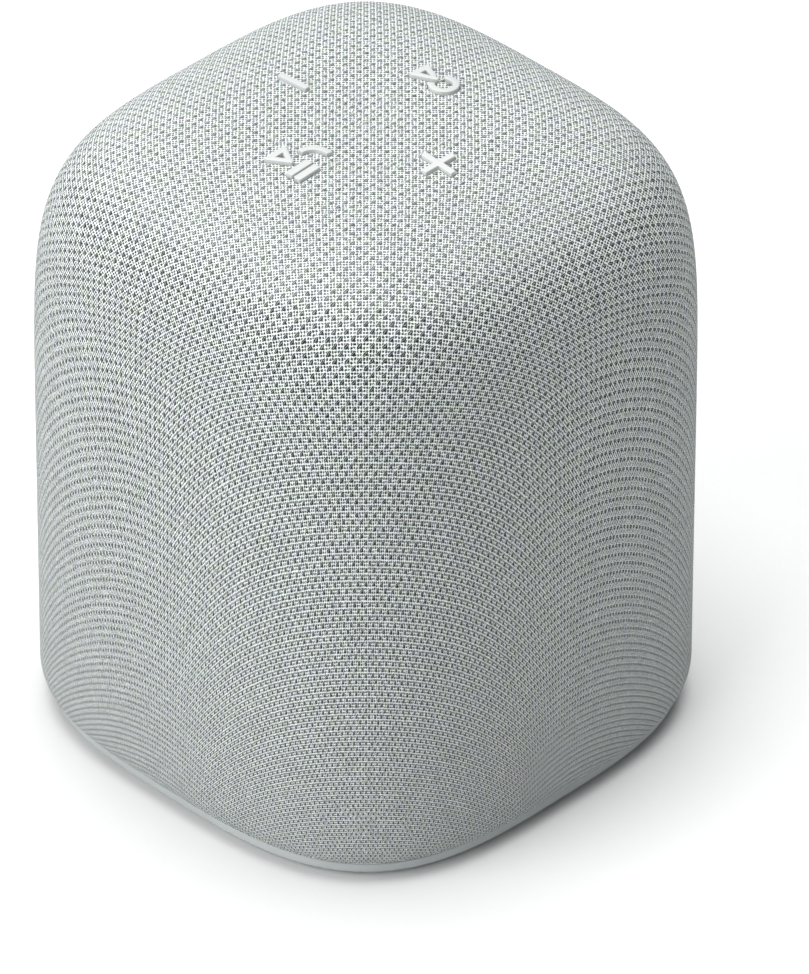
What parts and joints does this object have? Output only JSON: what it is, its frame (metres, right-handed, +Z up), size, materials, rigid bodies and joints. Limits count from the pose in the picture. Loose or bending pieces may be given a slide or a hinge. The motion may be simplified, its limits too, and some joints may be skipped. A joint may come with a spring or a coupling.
{
  "type": "smart speaker",
  "caption": "Compact fabric-covered smart speaker: rounded-square body, domed top with raised touch-through keys, light plastic base and rubber foot.",
  "frame": {"origin": "middle of the footprint, on the surface that the speaker stands on", "axes": "+Z up, -Y towards the front (the side nearest the play and call key), +X towards the user's right (the volume-up key)"},
  "size_m": [0.092, 0.092, 0.1102],
  "materials": {
    "fabric": "coarse woven melange cloth, pale cool grey with darker gaps between the yarns",
    "white_plastic": "satin moulded off-white plastic",
    "grey_plastic": "satin moulded light grey plastic",
    "black_plastic": "fine-textured black moulding",
    "rubber": "matt rubber",
    "steel": "plated steel",
    "aluminium": "sheet aluminium",
    "ferrite": "dull black ferrite",
    "circuit_board": "green solder mask",
    "diaphragm": "coated paper",
    "copper": "wound enamelled copper wire",
    "spider_cloth": "impregnated yellow-brown cloth",
    "clear_plastic": "frosted translucent plastic",
    "cell_wrap": "blue shrink film"
  },
  "bodies": {
    "housing": {"fabric_sleeve": "fabric", "grille_shell": "black_plastic", "base_cup": "grey_plastic", "foot_ring": "rubber", "acoustic_box": "black_plastic", "acoustic_lid": "black_plastic", "lid_gasket": "rubber", "woofer_gasket": "rubber", "woofer_basket": "steel", "woofer_top_plate": "steel", "woofer_magnet": "ferrite", "woofer_yoke": "steel", "woofer_surround": "rubber", "woofer_spider": "spider_cloth", "main_board": "circuit_board", "shield_can": "steel", "heat_spreader": "aluminium", "top_chassis": "black_plastic", "key_board": "circuit_board", "left_microphone": "steel", "right_microphone": "steel", "status_led": "clear_plastic", "light_guide": "clear_plastic", "battery_pack": "cell_wrap", "speaker_harness": "black_plastic", "battery_cable": "black_plastic", "key_board_cable": "black_plastic", "rear_port_panel": "grey_plastic", "port_board": "circuit_board", "usb_c_socket": "steel", "power_switch": "black_plastic", "base_screw_1": "steel", "woofer_screw_1": "steel", "base_screw_2": "steel", "woofer_screw_2": "steel", "base_screw_3": "steel", "woofer_screw_3": "steel", "base_screw_4": "steel", "woofer_screw_4": "steel", "left_radiator_frame": "black_plastic", "left_radiator_surround": "rubber", "right_radiator_frame": "black_plastic", "right_radiator_surround": "rubber", "play_call_switch": "black_plastic", "volume_up_switch": "black_plastic", "volume_down_switch": "black_plastic", "assistant_switch": "black_plastic"},
    "play_call_button": {"play_call_key": "white_plastic", "play_call_plunger": "black_plastic"},
    "volume_up_button": {"volume_up_key": "white_plastic", "volume_up_plunger": "black_plastic"},
    "volume_down_button": {"volume_down_key": "white_plastic", "volume_down_plunger": "black_plastic"},
    "assistant_button": {"assistant_key": "white_plastic", "assistant_plunger": "black_plastic"},
    "power_push": {"power_button": "white_plastic"},
    "woofer_diaphragm": {"woofer_cone": "diaphragm", "woofer_voice_coil": "copper"},
    "left_radiator": {"left_radiator_plate": "steel"},
    "right_radiator": {"right_radiator_plate": "steel"}
  },
  "joints": [
    {"name": "play_call_press", "type": "slide", "parent": "housing", "child": "play_call_button", "axis": [0, 0, -1], "range_m": [0, 0.0005], "stiffness_N_per_m": 2500, "springref_m": -0.0001},
    {"name": "volume_up_press", "type": "slide", "parent": "housing", "child": "volume_up_button", "axis": [0, 0, -1], "range_m": [0, 0.0005], "stiffness_N_per_m": 2500, "springref_m": -0.0001},
    {"name": "volume_down_press", "type": "slide", "parent": "housing", "child": "volume_down_button", "axis": [0, 0, -1], "range_m": [0, 0.0005], "stiffness_N_per_m": 2500, "springref_m": -0.0001},
    {"name": "assistant_press", "type": "slide", "parent": "housing", "child": "assistant_button", "axis": [0, 0, -1], "range_m": [0, 0.0005], "stiffness_N_per_m": 2500, "springref_m": -0.0001},
    {"name": "power_press", "type": "slide", "parent": "housing", "child": "power_push", "axis": [0, -1, 0], "range_m": [0, 0.0005], "stiffness_N_per_m": 2500, "springref_m": -0.0001},
    {"name": "woofer_travel", "type": "slide", "parent": "housing", "child": "woofer_diaphragm", "axis": [0, -1, 0], "range_m": [-0.002, 0.002], "stiffness_N_per_m": 1500},
    {"name": "left_radiator_travel", "type": "slide", "parent": "housing", "child": "left_radiator", "axis": [-1, 0, 0], "range_m": [-0.0025, 0.0025], "stiffness_N_per_m": 900},
    {"name": "right_radiator_travel", "type": "slide", "parent": "housing", "child": "right_radiator", "axis": [1, 0, 0], "range_m": [-0.0025, 0.0025], "stiffness_N_per_m": 900}
  ],
  "couplings": [
    {"joint": "right_radiator_travel", "follows": "left_radiator_travel", "ratio": 1}
  ]
}
